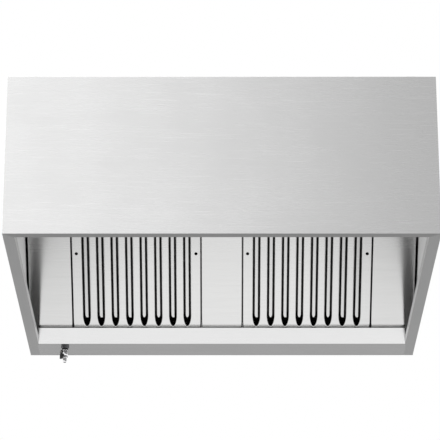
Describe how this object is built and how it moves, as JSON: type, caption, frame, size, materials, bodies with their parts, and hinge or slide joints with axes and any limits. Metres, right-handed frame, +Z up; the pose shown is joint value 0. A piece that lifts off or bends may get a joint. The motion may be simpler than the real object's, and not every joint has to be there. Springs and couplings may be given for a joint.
{
  "type": "commercial canopy hood",
  "caption": "Box-shaped stainless wall canopy hood with rim gutters, a rear grease trough with drain valve, sloped lift-out baffle filters, blanking panels and an exhaust collar.",
  "frame": {"origin": "middle of the four hanging holes, on the upper face of the hanger rails", "axes": "+Z up, +Y towards the wall behind the hood, +X to the right of a cook who faces the hood"},
  "size_m": [1.2192, 1.0668, 0.6371],
  "materials": {
    "casing_steel": "fine brushed stainless sheet, grain along the width",
    "filter_steel": "brushed stainless sheet, pressed",
    "hanger_steel": "galvanised steel strip",
    "fastener_steel": "plain stainless",
    "locknut_steel": "zinc plated, dull",
    "valve_chrome": "polished chrome plate",
    "drain_brass": "turned brass",
    "seat_plastic": "white sealing plastic",
    "lever_steel": "black coated steel",
    "grip_plastic": "black dipped plastic"
  },
  "bodies": {
    "hood": {"front_panel": "casing_steel", "left_side_panel": "casing_steel", "right_side_panel": "casing_steel", "back_panel": "casing_steel", "top_panel": "casing_steel", "grease_trough": "casing_steel", "exhaust_collar": "casing_steel", "collar_rivets": "fastener_steel", "left_hanger_rail": "hanger_steel", "right_hanger_rail": "hanger_steel", "hanger_bolts": "fastener_steel", "hanger_nuts": "fastener_steel", "front_stiffener": "hanger_steel", "middle_stiffener": "hanger_steel", "upper_filter_rail": "casing_steel", "filter_rail_closure": "casing_steel", "lower_filter_rail": "casing_steel", "filter_rail_brackets": "casing_steel", "left_blanking_panel": "casing_steel", "centre_blanking_panel": "casing_steel", "right_blanking_panel": "casing_steel", "blanking_panel_rivets": "fastener_steel", "drain_bush": "drain_brass", "drain_locknut": "locknut_steel", "valve_body": "valve_chrome", "valve_end_cap": "valve_chrome", "valve_seats": "seat_plastic", "valve_gland_nut": "valve_chrome"},
    "left_filter": {"left_filter_front_plate": "filter_steel", "left_filter_frame": "filter_steel", "left_filter_rear_baffle": "filter_steel", "left_filter_rivets": "fastener_steel"},
    "right_filter": {"right_filter_front_plate": "filter_steel", "right_filter_frame": "filter_steel", "right_filter_rear_baffle": "filter_steel", "right_filter_rivets": "fastener_steel"},
    "drain_valve_lever": {"valve_lever": "lever_steel", "valve_lever_grip": "grip_plastic", "valve_lever_nut": "locknut_steel", "valve_stem": "drain_brass", "valve_ball": "valve_chrome"}
  },
  "joints": [
    {"name": "left_filter_lift", "type": "slide", "parent": "hood", "child": "left_filter", "axis": [0, -0.7071, 0.7071], "range_m": [0, 0.022]},
    {"name": "right_filter_lift", "type": "slide", "parent": "hood", "child": "right_filter", "axis": [0, -0.7071, 0.7071], "range_m": [0, 0.022]},
    {"name": "drain_valve_turn", "type": "hinge", "parent": "hood", "child": "drain_valve_lever", "pos_m": [-0.494, 0.4367, -0.527], "axis": [-0.6428, -0.766, 0], "range_deg": [0, 90]}
  ]
}
